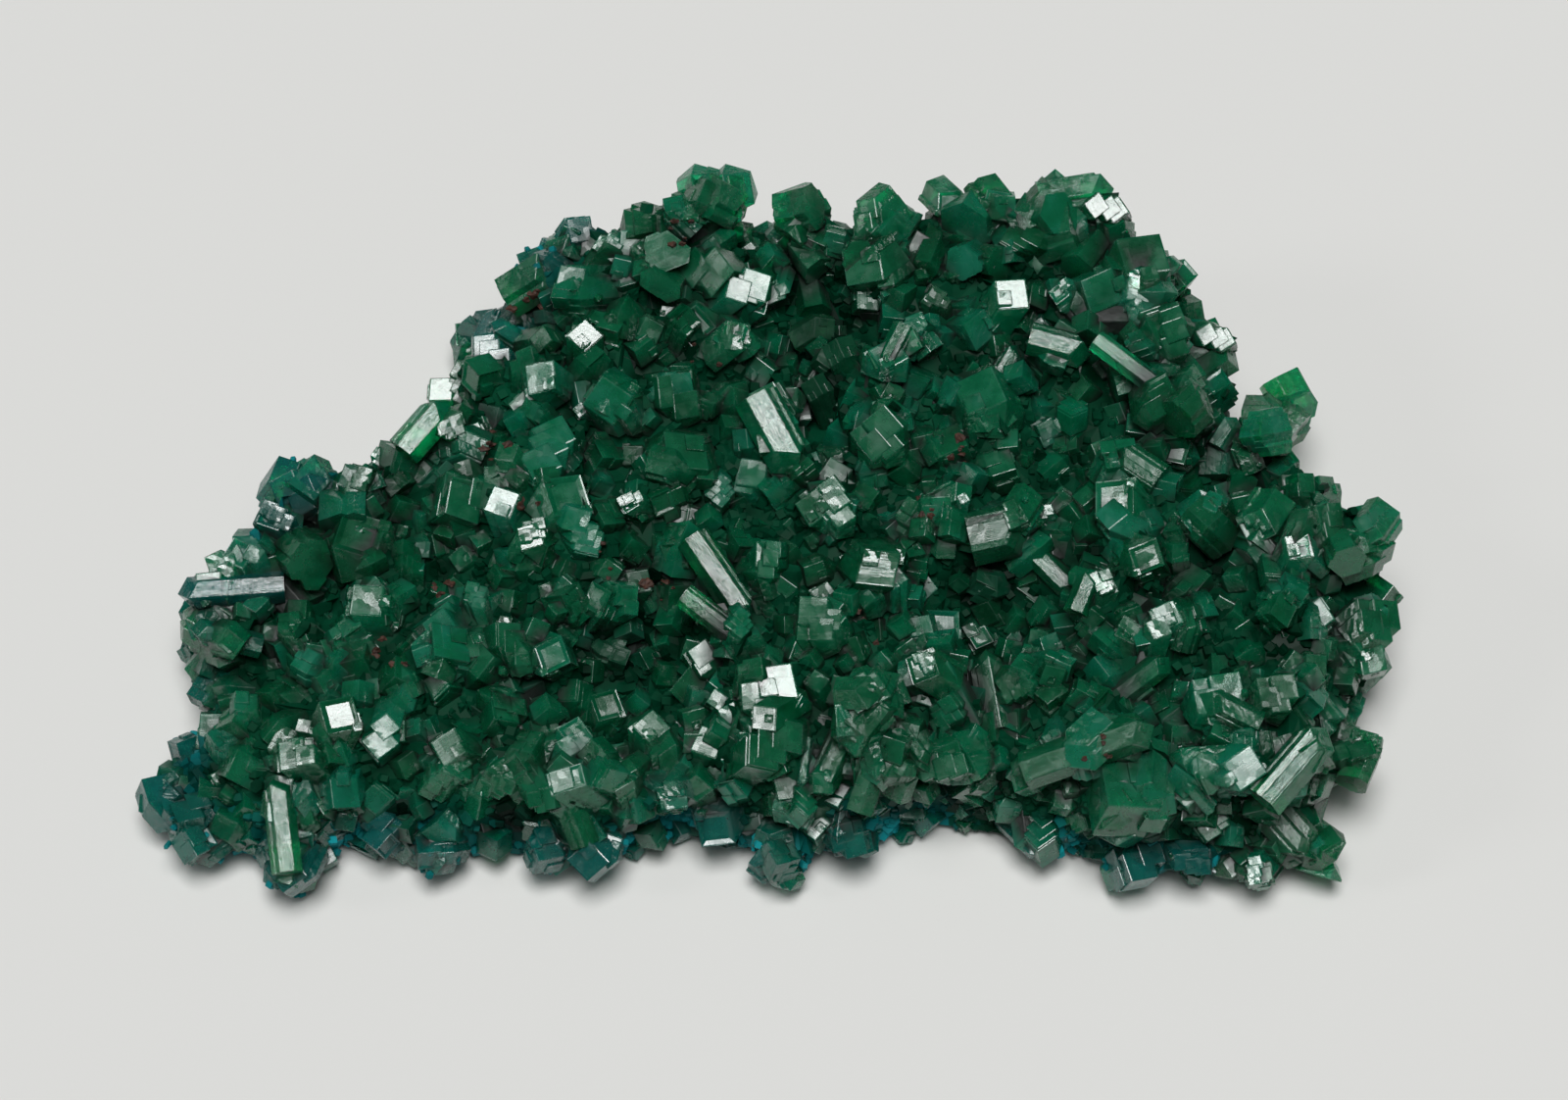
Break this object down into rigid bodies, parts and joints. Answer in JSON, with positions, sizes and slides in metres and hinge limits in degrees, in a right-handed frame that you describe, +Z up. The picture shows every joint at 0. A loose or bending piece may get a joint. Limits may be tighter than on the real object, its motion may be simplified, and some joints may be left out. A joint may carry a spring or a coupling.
{
  "type": "dioptase crystal plate",
  "caption": "Rough mineral specimen: a plate of stubby deep green dioptase crystals grown together on a thin crust, lying on its back.",
  "frame": {"origin": "under the middle of the plate, on the surface that it lies on", "axes": "+X along the plate's length, +Y across it, away from its long straight edge, +Z up out of the crystals"},
  "size_m": [0.0987, 0.0593, 0.0207],
  "materials": {
    "dioptase": "glassy crystal faces, some satin and striated"
  },
  "bodies": {
    "root": {"dioptase_plate": "dioptase"}
  },
  "joints": []
}
